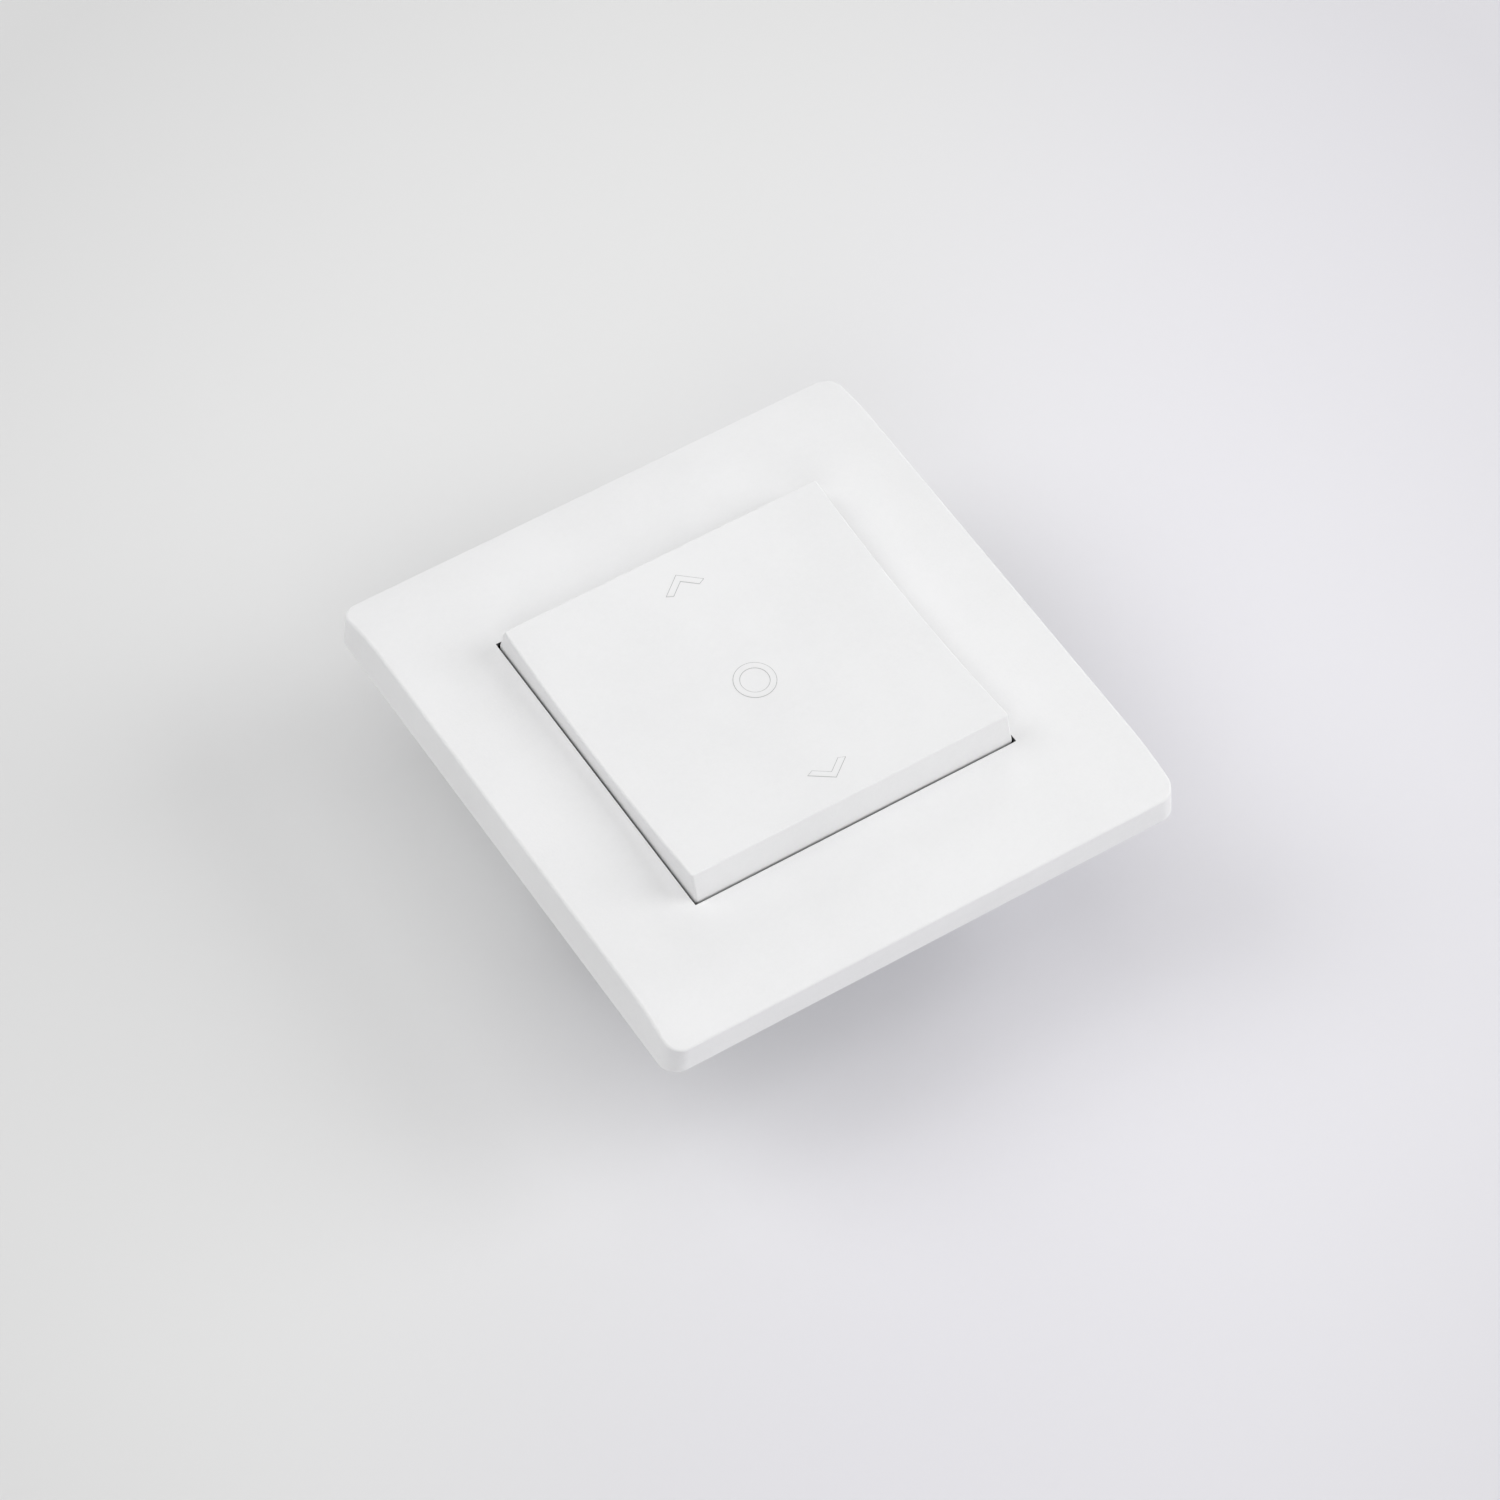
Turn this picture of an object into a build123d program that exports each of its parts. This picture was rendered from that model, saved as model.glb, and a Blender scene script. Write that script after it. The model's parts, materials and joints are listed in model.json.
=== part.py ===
"""Flush wall switch for an awning: arched cover frame, dished rocker and a spring-centred contact insert.

Millimetres. The wall is the plane Z = 0, +Z points out of the wall and +Y points up it.
"""
from build123d import *
import os
from math import radians, tan

# Support plate: its slots fit the screws of a wall box
slot_spacing = 60.0
slot_width = 3.6
slot_length = 7.0
slot_margin = 2.0
plate_thickness = 1.2
plate_corner_cut = 6.0
lug_width = 5.0
lug_spread = 40.0
lug_headroom = 0.4
lug_lead_in = 1.0

# Cover frame
frame_overlap = 4.5
frame_surplus_length = 5.0
frame_end_height = 4.45
frame_face_height = 6.6
frame_flat_margin = 6.1
frame_wall = 2.0
frame_corner_radius = 2.7
frame_side_draft = 5.0
frame_end_draft = 0.5
frame_edge_round = 0.4
opening_size = 50.2
opening_edge_round = 0.1
lip_thickness = 0.6
lip_overhang = 0.5
collar_wall = 1.0
clip_rib = 1.2
clip_clearance = 0.15
stiffening_rib = 1.0
stiffening_spread = 20.0

# Rocker
rocker_gap = 0.3
rocker_rise_middle = 2.7
rocker_rise_end = 4.3
rocker_end_lean = 1.3
rocker_side_lean = 0.05
rocker_skirt = 3.0
rocker_wall = 1.5
rocker_corner_radius = 0.35
rocker_edge_round = 0.25
rocker_rib = 1.2
rib_spread = 14.0
hook_width = 4.0
hook_catch = 0.6
hook_clearance = 0.1

# Tilt
tilt_limit = 4.5
pivot_height = 4.0
trunnion_radius = 1.5
trunnion_length = 2.5
trunnion_clearance = 0.08

# Rocker cradle
cradle_overhang = 5.0
cradle_deck = 1.4
cradle_cheek = 1.6
deck_above_pivot = 0.9
nose_radius = 2.0
nose_width = 4.0
nose_drop = 0.9
running_clearance = 0.3

# Insert: the housing in the wall box
insert_size = 44.0
insert_depth = 24.0
insert_corner_cut = 5.0
insert_edge_round = 0.6
insert_floor = 1.6
insert_wall = 1.8
flange_thickness = 3.0
platform_rise = 0.3
bearing_thickness = 2.5
bearing_width = 8.0
bearing_above_pivot = 2.4
bearing_snap_width = 2.4
bearing_lead_in = 0.6
seat_clearance = 0.3
lip_wall = 1.2
lip_depth = 2.0
lip_clearance = 0.15

# Plungers and springs
plunger_side = 5.0
plunger_chamfer = 0.5
plunger_clearance = 0.1
plunger_collar = 7.0
collar_thickness = 1.2
guide_wall = 1.5
guide_drop = 4.0
nose_clearance = 0.1
spigot_radius = 1.1
spigot_length = 2.5
spring_radius = 2.2
spring_wire = 0.6
spring_sides = 6
spring_turns = 5
spring_well_clearance = 0.7
spring_seat_height = 2.0

# Contacts
chamber_clearance = 0.4
chamber_depth = 11.6
contact_spread = 12.0
contact_over_travel = 0.09
bridge_length = 16.0
bridge_width = 5.0
bridge_thickness = 0.6
bridge_clearance = 0.1
bridge_room = 1.2
tip_radius = 1.5
tip_height = 0.9
tip_shank_radius = 0.7
tip_clearance = 0.05
strip_thickness = 0.8
strip_width = 5.0
strip_overhang = 2.5

# Terminals
terminal_inset = 7.0
tail_width = 6.0
tail_clearance = 0.2
tail_tab = 3.0
terminal_room_x = 8.4
terminal_room_y = 8.4
clamp_x = 6.4
clamp_y = 7.4
clamp_thickness = 1.2
clamp_hole_clearance = 0.2
terminal_screw_radius = 1.4
terminal_screw_clearance = 0.05
terminal_head_radius = 2.4
terminal_head_height = 1.6
terminal_head_lift = 0.1
terminal_screw_past = 1.4
driver_hole_radius = 2.1
driver_lead_in = 0.5
wire_entry_width = 2.9
wire_entry_height = 4.3
wire_entry_spread = 4.9
wire_lead_in = 0.6

# Plate screws
screw_inset_x = 3.2
screw_inset_y = 5.5
plate_screw_radius = 1.1
plate_screw_length = 9.0
plate_screw_head_radius = 2.2
plate_screw_head_height = 1.4
plate_screw_head_room = 1.8
plate_screw_clearance = 0.2
pilot_clearance = 0.05

# Sizes that follow from those above
plate_size = slot_spacing + slot_length + 2 * slot_margin
frame_width = plate_size + 2 * frame_overlap
frame_length = frame_width + frame_surplus_length
frame_flat_half = opening_size / 2 + frame_flat_margin
opening_corner_radius = rocker_corner_radius + rocker_gap
recess_size = opening_size + 2 * lip_overhang
recess_corner_radius = opening_corner_radius + lip_overhang
collar_size = recess_size + 2 * collar_wall
lug_place = (collar_size / 2 + frame_width / 2 - frame_wall) / 2
screw_spread_x = insert_size - 2 * screw_inset_x
screw_spread_y = insert_size - 2 * screw_inset_y
platform_width = screw_spread_x - 2 * (plate_screw_head_radius + plate_screw_head_room)
platform_length = screw_spread_y
bearing_inner = platform_width / 2 - bearing_thickness
cradle_width = 2 * (bearing_inner - running_clearance)
plunger_spread = insert_size / 2
cradle_length = plunger_spread + 2 * cradle_overhang
guide_outer = plunger_side + 2 * (plunger_clearance + guide_wall)
chamber_width = bridge_length + 2 * bridge_room
chamber_length = plunger_spread + guide_outer + 2 * chamber_clearance
terminal_reach = insert_size / 2 - terminal_inset

# Levels that follow from the sizes above
rocker_half = opening_size / 2 - rocker_gap
rocker_bottom = frame_face_height - rocker_skirt
rocker_end_top = frame_face_height + rocker_rise_end
rocker_middle_top = frame_face_height + rocker_rise_middle
deck_bottom = pivot_height + deck_above_pivot
deck_top = deck_bottom + cradle_deck
nose_bottom = pivot_height - nose_drop
platform_top = plate_thickness + platform_rise
plunger_travel = plunger_spread / 2 * radians(tilt_limit)
contact_gap = plunger_travel + contact_over_travel
chamber_floor = -flange_thickness - chamber_depth
strip_top = chamber_floor + strip_thickness
fixed_tip_top = strip_top + tip_height
bridge_bottom = fixed_tip_top + contact_gap + tip_height
bridge_top = bridge_bottom + bridge_thickness
insert_back = -insert_depth
floor_top = insert_back + insert_floor
spring_seat = floor_top + spring_seat_height
head_bottom = floor_top + terminal_head_lift
head_top = head_bottom + terminal_head_height
frame_underside = frame_face_height - frame_wall
frame_skin_middle = frame_face_height - frame_wall / 2
clip_bottom = plate_thickness + clip_clearance

TERMINALS = {
    "common": (-terminal_reach, 0.0),
    "up": (terminal_reach, plunger_spread / 2),
    "down": (terminal_reach, -plunger_spread / 2),
}
SIDES = {"up": 1, "down": -1}
LUGS = [(x, y) for x in (-lug_place, lug_place) for y in (-lug_spread / 2, lug_spread / 2)]
ON_TOP = (Align.CENTER, Align.CENTER, Align.MIN)
HANGING = (Align.CENTER, Align.CENTER, Align.MAX)
HAIR = 0.01

os.makedirs("parts", exist_ok=True)


def save(piece, name):
    piece.part.label = name
    export_step(piece.part, f"parts/{name}.step")


def arch(half_length, end_height, drop):
    """Side view of the frame in Y and Z: a flat middle with both ends curving down, lowered by drop."""
    crown = frame_face_height - drop
    end = end_height - drop
    tip = half_length - end * tan(radians(frame_end_draft))
    with BuildSketch() as side_view:
        with BuildLine():
            Polyline((-tip, end), (-half_length, 0), (half_length, 0), (tip, end))
            TangentArc((frame_flat_half, crown), (tip, end), tangent=(1, 0))
            Line((frame_flat_half, crown), (-frame_flat_half, crown))
            TangentArc((-frame_flat_half, crown), (-tip, end), tangent=(-1, 0))
        make_face()
    return side_view.sketch


def rocker_side(inset):
    """Side view of the rocker, drawn in Y and Z: leaning ends and a dished top, drawn in by inset."""
    half = rocker_half - inset
    end_half = half - rocker_end_lean
    end_top = rocker_end_top - inset
    with BuildSketch() as side_view:
        with BuildLine():
            Polyline(
                (-end_half, end_top),
                (-half, frame_face_height),
                (-half, rocker_bottom),
                (half, rocker_bottom),
                (half, frame_face_height),
                (end_half, end_top),
            )
            ThreePointArc((end_half, end_top), (0, rocker_middle_top - inset), (-end_half, end_top))
        make_face()
    return side_view.sketch


def insert_outline():
    """Square with cut corners, which lets the insert enter a round wall box."""
    with BuildSketch() as outline:
        Rectangle(insert_size, insert_size)
        chamfer(outline.vertices(), length=insert_corner_cut)
    return outline.sketch


# Cover frame: drafted, arched shell with a thin lip round its opening and a collar that stands on the plate
with BuildPart() as cover_frame:
    with BuildSketch(Plane.YZ):
        add(arch(frame_length / 2, frame_end_height, 0))
    extrude(amount=frame_width / 2, both=True)
    with BuildSketch(Plane.XZ):
        Trapezoid(frame_width, frame_face_height, 90 - frame_side_draft, align=(Align.CENTER, Align.MIN))
    extrude(amount=frame_length / 2, both=True, mode=Mode.INTERSECT)
    upright_edges = cover_frame.edges().filter_by(
        lambda e: abs(e.center().X) > opening_size / 2 and 0 < e.center().Z < frame_end_height - HAIR
    )
    fillet(upright_edges, radius=frame_corner_radius)
    rim = cover_frame.edges().filter_by(
        lambda e: e.center().Z > frame_end_height - frame_edge_round
        and (abs(e.center().X) > opening_size / 2 or abs(e.center().Y) > frame_flat_half + HAIR)
    )
    fillet(rim, radius=frame_edge_round)
    with BuildSketch(Plane.YZ):
        add(arch(frame_length / 2 - frame_wall, frame_end_height, frame_wall))
    extrude(amount=frame_width / 2 - frame_wall, both=True, mode=Mode.SUBTRACT)
    # Ribs that stiffen the face, from the collar to the outer walls
    for x in (-stiffening_spread / 2, stiffening_spread / 2):
        with BuildSketch(Plane.YZ.offset(x)):
            add(arch(frame_length / 2 - frame_wall / 2, frame_end_height, frame_wall / 2))
            Rectangle(frame_length, 2 * clip_bottom, mode=Mode.SUBTRACT)
        extrude(amount=stiffening_rib / 2, both=True)
    with Locations((0, -stiffening_spread / 2, clip_bottom), (0, stiffening_spread / 2, clip_bottom)):
        Box(frame_width - 2 * frame_wall, stiffening_rib, frame_skin_middle - clip_bottom, align=ON_TOP)
    with BuildSketch(Plane.XY.offset(plate_thickness)):
        RectangleRounded(collar_size, collar_size, recess_corner_radius + collar_wall)
    extrude(amount=frame_skin_middle - plate_thickness)
    with BuildSketch():
        RectangleRounded(recess_size, recess_size, recess_corner_radius)
    extrude(amount=frame_face_height - lip_thickness, mode=Mode.SUBTRACT)
    with BuildSketch():
        RectangleRounded(opening_size, opening_size, opening_corner_radius)
    extrude(amount=frame_face_height, mode=Mode.SUBTRACT)
    opening_rim = cover_frame.edges().filter_by(
        lambda e: e.center().Z > frame_face_height - HAIR
        and max(abs(e.center().X), abs(e.center().Y)) < opening_size / 2 + HAIR
    )
    fillet(opening_rim, radius=opening_edge_round)
    # Two ribs grip each lug of the support plate
    rib_offset = (plate_thickness + clip_rib) / 2 + clip_clearance
    for lug_x, lug_y in LUGS:
        with Locations((lug_x - rib_offset, lug_y, clip_bottom), (lug_x + rib_offset, lug_y, clip_bottom)):
            Box(clip_rib, lug_width, frame_skin_middle - clip_bottom, align=ON_TOP)
save(cover_frame, "cover_frame")

# Rocker: hollow button with a dished top, two ribs that bear on the cradle and hooks that grip it
with BuildPart() as rocker:
    with BuildSketch(Plane.YZ):
        add(rocker_side(0))
    extrude(amount=rocker_half, both=True)
    with BuildSketch(Plane.XZ):
        with BuildLine():
            top_half = rocker_half - rocker_side_lean
            Polyline(
                (-rocker_half, rocker_bottom),
                (rocker_half, rocker_bottom),
                (rocker_half, frame_face_height),
                (top_half, rocker_end_top),
                (-top_half, rocker_end_top),
                (-rocker_half, frame_face_height),
                close=True,
            )
        make_face()
    extrude(amount=rocker_half, both=True, mode=Mode.INTERSECT)
    corners = rocker.edges().filter_by(
        lambda e: min(abs(e.center().X), abs(e.center().Y)) > rocker_half - rocker_end_lean - rocker_side_lean
    )
    fillet(corners, radius=rocker_corner_radius)
    top_rim = rocker.edges().filter_by(lambda e: e.center().Z > rocker_middle_top - HAIR)
    fillet(top_rim, radius=rocker_edge_round)
    with BuildSketch(Plane.YZ):
        add(rocker_side(rocker_wall))
    extrude(amount=rocker_half - rocker_side_lean - rocker_wall, both=True, mode=Mode.SUBTRACT)
    hook_bottom = deck_bottom - hook_clearance - hook_catch
    hook_inner = cradle_length / 2 + hook_clearance
    for x in (-rib_spread / 2, rib_spread / 2):
        with BuildSketch(Plane.YZ.offset(x)):
            with Locations((0, deck_top)):
                Rectangle(cradle_length, rocker_end_top - deck_top, align=(Align.CENTER, Align.MIN))
            add(rocker_side(rocker_wall / 2), mode=Mode.INTERSECT)
        extrude(amount=rocker_rib / 2, both=True)
        for end in (-1, 1):
            with BuildSketch(Plane.YZ.offset(x)):
                with BuildLine():
                    Polyline(
                        (end * hook_inner, rocker_end_top),
                        (end * hook_inner, hook_bottom + hook_catch),
                        (end * (hook_inner - hook_catch), hook_bottom + hook_catch),
                        (end * hook_inner, hook_bottom),
                        (end * (hook_inner + rocker_rib), hook_bottom),
                        (end * (hook_inner + rocker_rib), rocker_end_top),
                        close=True,
                    )
                make_face()
                add(rocker_side(rocker_wall / 2), mode=Mode.INTERSECT)
            extrude(amount=hook_width / 2, both=True)
save(rocker, "rocker")

# Rocker cradle: deck on two trunnions, with a rounded nose over each plunger
with BuildPart() as rocker_cradle:
    with Locations((0, 0, deck_bottom)):
        Box(cradle_width, cradle_length, cradle_deck, align=ON_TOP)
    cheek_place = cradle_width / 2 - cradle_cheek / 2
    for side in (-1, 1):
        with BuildSketch(Plane.YZ.offset(side * cheek_place)):
            with Locations((0, pivot_height)):
                Circle(bearing_width / 2 - cradle_cheek)
            with Locations((0, (pivot_height + deck_top) / 2)):
                Rectangle(bearing_width - 2 * cradle_cheek, deck_top - pivot_height)
        extrude(amount=cradle_cheek / 2, both=True)
        with BuildSketch(Plane.YZ.offset(side * cheek_place)):
            with Locations((0, pivot_height)):
                Circle(trunnion_radius)
        extrude(amount=side * (cradle_cheek / 2 + trunnion_length))
    for end in (-1, 1):
        with BuildSketch(Plane.YZ):
            with Locations((end * plunger_spread / 2, nose_bottom + nose_radius)):
                Circle(nose_radius)
            with Locations((end * plunger_spread / 2, (nose_bottom + nose_radius + deck_top) / 2)):
                Rectangle(2 * nose_radius, deck_top - nose_bottom - nose_radius)
        extrude(amount=nose_width / 2, both=True)
save(rocker_cradle, "rocker_cradle")

# Support plate: pressed steel, with slots for the wall box screws and four bent lugs
with BuildPart() as support_plate:
    with BuildSketch() as plate_outline:
        Rectangle(plate_size, plate_size)
        chamfer(plate_outline.vertices(), length=plate_corner_cut)
        Rectangle(
            platform_width + 2 * seat_clearance, platform_length + 2 * seat_clearance, mode=Mode.SUBTRACT
        )
        with Locations((-slot_spacing / 2, 0), (slot_spacing / 2, 0)):
            SlotOverall(slot_length, slot_width, mode=Mode.SUBTRACT)
        with Locations((0, -slot_spacing / 2), (0, slot_spacing / 2)):
            SlotOverall(slot_length, slot_width, rotation=90, mode=Mode.SUBTRACT)
        with GridLocations(screw_spread_x, screw_spread_y, 2, 2):
            Circle(plate_screw_radius + plate_screw_clearance, mode=Mode.SUBTRACT)
    extrude(amount=plate_thickness)
    with Locations(*[(x, y, 0) for x, y in LUGS]):
        Box(plate_thickness, lug_width, frame_underside - lug_headroom, align=ON_TOP)
    lug_corners = support_plate.edges().filter_by(Axis.X).group_by(Axis.Z)[-1]
    chamfer(lug_corners, length=lug_lead_in)
save(support_plate, "support_plate")

# Insert cover: flange under the plate, platform through its window, bearings and plunger guides
with BuildPart() as insert_cover:
    add(insert_outline())
    extrude(amount=-flange_thickness)
    Box(platform_width, platform_length, platform_top, align=ON_TOP)
    with BuildSketch(Plane.XY.offset(-flange_thickness)):
        Rectangle(chamber_width - 2 * lip_clearance, chamber_length - 2 * lip_clearance)
        inner_lip = 2 * (lip_clearance + lip_wall)
        Rectangle(chamber_width - inner_lip, chamber_length - inner_lip, mode=Mode.SUBTRACT)
    extrude(amount=-lip_depth)
    with Locations((0, -plunger_spread / 2, platform_top), (0, plunger_spread / 2, platform_top)):
        Box(guide_outer, guide_outer, platform_top + flange_thickness + guide_drop, align=HANGING)
        bore = plunger_side + 2 * plunger_clearance
        Box(bore, bore, platform_top + flange_thickness + guide_drop, align=HANGING, mode=Mode.SUBTRACT)
    bearing_top = pivot_height + bearing_above_pivot
    for side in (-1, 1):
        with BuildSketch(Plane.YZ.offset(side * (bearing_inner + bearing_thickness / 2))):
            with Locations((0, bearing_top / 2)):
                Rectangle(bearing_width, bearing_top)
            with Locations((0, pivot_height)):
                Circle(trunnion_radius + trunnion_clearance, mode=Mode.SUBTRACT)
            with Locations((0, (pivot_height + bearing_top) / 2)):
                Rectangle(bearing_snap_width, bearing_top - pivot_height, mode=Mode.SUBTRACT)
            with Locations((0, bearing_top - bearing_lead_in / 2)):
                mouth_width = bearing_snap_width + 2 * bearing_lead_in
                Trapezoid(mouth_width, bearing_lead_in, 45, rotation=180, mode=Mode.SUBTRACT)
        extrude(amount=bearing_thickness / 2, both=True)
    with GridLocations(screw_spread_x, screw_spread_y, 2, 2):
        Cylinder(
            plate_screw_radius + plate_screw_clearance, flange_thickness, align=HANGING, mode=Mode.SUBTRACT
        )
save(insert_cover, "insert_cover")

# Insert base: moulded block with the switch chamber, spring wells and terminal rooms
with BuildPart() as insert_base:
    with BuildSketch(Plane.XY.offset(insert_back)):
        add(insert_outline())
    extrude(amount=insert_depth - flange_thickness)
    back_rim = insert_base.edges().group_by(Axis.Z)[0]
    fillet(back_rim, radius=insert_edge_round)
    with Locations((0, 0, chamber_floor)):
        Box(chamber_width, chamber_length, chamber_depth, align=ON_TOP, mode=Mode.SUBTRACT)
    with Locations((0, -plunger_spread / 2, spring_seat), (0, plunger_spread / 2, spring_seat)):
        well_radius = spring_radius + spring_wire / 2 + spring_well_clearance
        Cylinder(well_radius, chamber_floor - spring_seat, align=ON_TOP, mode=Mode.SUBTRACT)
    for reach, y in TERMINALS.values():
        outward = 1 if reach > 0 else -1
        tail_end = terminal_reach + terminal_room_x / 2
        tail_length = tail_end - contact_spread / 2
        with Locations((outward * (tail_end - tail_length / 2), y, chamber_floor)):
            Box(
                tail_length,
                tail_width + 2 * tail_clearance,
                chamber_depth,
                align=ON_TOP,
                mode=Mode.SUBTRACT,
            )
        with Locations((reach, y, floor_top)):
            Box(
                terminal_room_x,
                terminal_room_y,
                chamber_floor - floor_top,
                align=ON_TOP,
                mode=Mode.SUBTRACT,
            )
        with Locations((reach, y, insert_back)):
            Cylinder(driver_hole_radius, insert_floor, align=ON_TOP, mode=Mode.SUBTRACT)
            Cone(
                driver_hole_radius + driver_lead_in,
                driver_hole_radius,
                driver_lead_in,
                align=ON_TOP,
                mode=Mode.SUBTRACT,
            )
        # Two wire entries side by side, one on each side of the screw, each with a flared mouth
        wall_length = insert_size / 2 - terminal_reach
        entry_middle = (head_top + clamp_thickness + chamber_floor) / 2
        for entry_y in (y - wire_entry_spread / 2, y + wire_entry_spread / 2):
            with Locations((outward * (terminal_reach + wall_length / 2), entry_y, entry_middle)):
                Box(wall_length, wire_entry_width, wire_entry_height, mode=Mode.SUBTRACT)
            mouth_place = (outward * insert_size / 2, entry_y, entry_middle)
            mouth = Plane(mouth_place, x_dir=(0, 1, 0), z_dir=(-outward, 0, 0))
            with BuildSketch(mouth):
                Rectangle(wire_entry_width + 2 * wire_lead_in, wire_entry_height + 2 * wire_lead_in)
            with BuildSketch(mouth.offset(wire_lead_in)):
                Rectangle(wire_entry_width, wire_entry_height)
            loft(mode=Mode.SUBTRACT)
    # Pockets that keep the walls of the moulding even
    pocket_inner = chamber_width / 2 + insert_wall
    pocket_outer = insert_size / 2 - insert_wall
    pocket_middle = (pocket_inner + pocket_outer) / 2
    pocket_start = terminal_room_y / 2 + insert_wall
    pocket_stop = screw_spread_y / 2 - plate_screw_radius - insert_wall
    pocket_depth = insert_depth - flange_thickness - insert_floor
    with Locations(
        (-pocket_middle, (pocket_start + pocket_stop) / 2, floor_top),
        (-pocket_middle, -(pocket_start + pocket_stop) / 2, floor_top),
    ):
        Box(
            pocket_outer - pocket_inner,
            pocket_stop - pocket_start,
            pocket_depth,
            align=ON_TOP,
            mode=Mode.SUBTRACT,
        )
    with Locations((pocket_middle, 0, floor_top)):
        Box(
            pocket_outer - pocket_inner,
            plunger_spread - terminal_room_y - 2 * insert_wall,
            pocket_depth,
            align=ON_TOP,
            mode=Mode.SUBTRACT,
        )
    with Locations((0, 0, -flange_thickness)):
        with GridLocations(screw_spread_x, screw_spread_y, 2, 2):
            Cylinder(
                plate_screw_radius + pilot_clearance,
                plate_screw_length - plate_thickness,
                align=HANGING,
                mode=Mode.SUBTRACT,
            )
save(insert_base, "insert_base")

# Plungers, contact bridges, tips and springs: one set for each direction
for name, end in SIDES.items():
    y = end * plunger_spread / 2

    with BuildPart() as plunger:
        with Locations((0, y, bridge_top)):
            Box(plunger_side, plunger_side, nose_bottom - nose_clearance - bridge_top, align=ON_TOP)
            Box(plunger_collar, plunger_collar, collar_thickness, align=ON_TOP)
        chamfer(plunger.edges().group_by(Axis.Z)[-1], length=plunger_chamfer)
        with Locations((0, y, bridge_top)):
            Cylinder(spigot_radius, bridge_thickness + spigot_length, align=HANGING)
    save(plunger, f"plunger_{name}")

    with BuildPart() as contact_bridge:
        with BuildSketch(Plane.XY.offset(bridge_bottom)):
            with Locations((0, y)):
                SlotOverall(bridge_length, bridge_width)
                Circle(spigot_radius + bridge_clearance, mode=Mode.SUBTRACT)
            with Locations((-contact_spread / 2, y), (contact_spread / 2, y)):
                Circle(tip_shank_radius + tip_clearance, mode=Mode.SUBTRACT)
        extrude(amount=bridge_thickness)
    save(contact_bridge, f"contact_bridge_{name}")

    with BuildPart() as moving_tips:
        with Locations((-contact_spread / 2, y, bridge_bottom), (contact_spread / 2, y, bridge_bottom)):
            Cylinder(tip_radius, tip_height, align=HANGING)
            Cylinder(tip_shank_radius, bridge_thickness, align=ON_TOP)
    save(moving_tips, f"moving_tips_{name}")

    with BuildPart() as return_spring:
        coil_height = bridge_bottom - spring_seat - spring_wire
        with BuildLine() as coil:
            Helix(
                coil_height / spring_turns,
                coil_height,
                spring_radius,
                center=(0, y, spring_seat + spring_wire / 2),
            )
        with BuildSketch(Plane(coil.line @ 0, z_dir=coil.line % 0)):
            RegularPolygon(spring_wire / 2, spring_sides)
        sweep(path=coil.line, is_frenet=True)
    save(return_spring, f"return_spring_{name}")

# Terminal strips: the common one reaches both switches, the others one each
for name, (reach, y) in TERMINALS.items():
    outward = 1 if reach > 0 else -1
    contact_ys = [end * plunger_spread / 2 for end in SIDES.values()] if name == "common" else [y]
    contact_x = outward * contact_spread / 2
    strip_end = outward * (terminal_reach + terminal_room_x / 2 - tail_clearance)

    with BuildPart() as terminal:
        with BuildSketch(Plane.XY.offset(chamber_floor)):
            with Locations((contact_x, y)):
                Rectangle(strip_width, max(contact_ys) - min(contact_ys) + 2 * strip_overhang)
            with Locations(((contact_x + strip_end) / 2, y)):
                Rectangle(abs(strip_end - contact_x), tail_width)
            with Locations((reach, y)):
                Circle(terminal_screw_radius + terminal_screw_clearance, mode=Mode.SUBTRACT)
            with Locations(*[(contact_x, contact_y) for contact_y in contact_ys]):
                Circle(tip_shank_radius + tip_clearance, mode=Mode.SUBTRACT)
        extrude(amount=strip_thickness)
        with Locations((strip_end - outward * strip_thickness / 2, y, strip_top)):
            Box(strip_thickness, tail_width, tail_tab, align=ON_TOP)
    save(terminal, f"{name}_terminal")

    with BuildPart() as fixed_tips:
        with Locations(*[(contact_x, contact_y, strip_top) for contact_y in contact_ys]):
            Cylinder(tip_radius, tip_height, align=ON_TOP)
            Cylinder(tip_shank_radius, strip_thickness, align=HANGING)
    save(fixed_tips, f"{name}_fixed_tip")

    with BuildPart() as clamp:
        with Locations((reach, y, head_top)):
            Box(clamp_x, clamp_y, clamp_thickness, align=ON_TOP)
            Cylinder(
                terminal_screw_radius + clamp_hole_clearance,
                clamp_thickness,
                align=ON_TOP,
                mode=Mode.SUBTRACT,
            )
    save(clamp, f"{name}_clamp")

# Terminal screws, driven from the back of the insert
with BuildPart() as terminal_screws:
    for reach, y in TERMINALS.values():
        with Locations((reach, y, head_bottom)):
            Cylinder(terminal_head_radius, terminal_head_height, align=ON_TOP)
        with Locations((reach, y, head_top)):
            Cylinder(terminal_screw_radius, strip_top + terminal_screw_past - head_top, align=ON_TOP)
save(terminal_screws, "terminal_screws")

# Screws that hold the plate, cover and base of the insert together
with BuildPart() as plate_screws:
    with Locations((0, 0, plate_thickness)):
        with GridLocations(screw_spread_x, screw_spread_y, 2, 2):
            Cylinder(plate_screw_head_radius, plate_screw_head_height, align=ON_TOP)
            Cylinder(plate_screw_radius, plate_screw_length, align=HANGING)
save(plate_screws, "plate_screws")
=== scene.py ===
import json
import math

import bpy
from mathutils import Matrix, Vector


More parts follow.
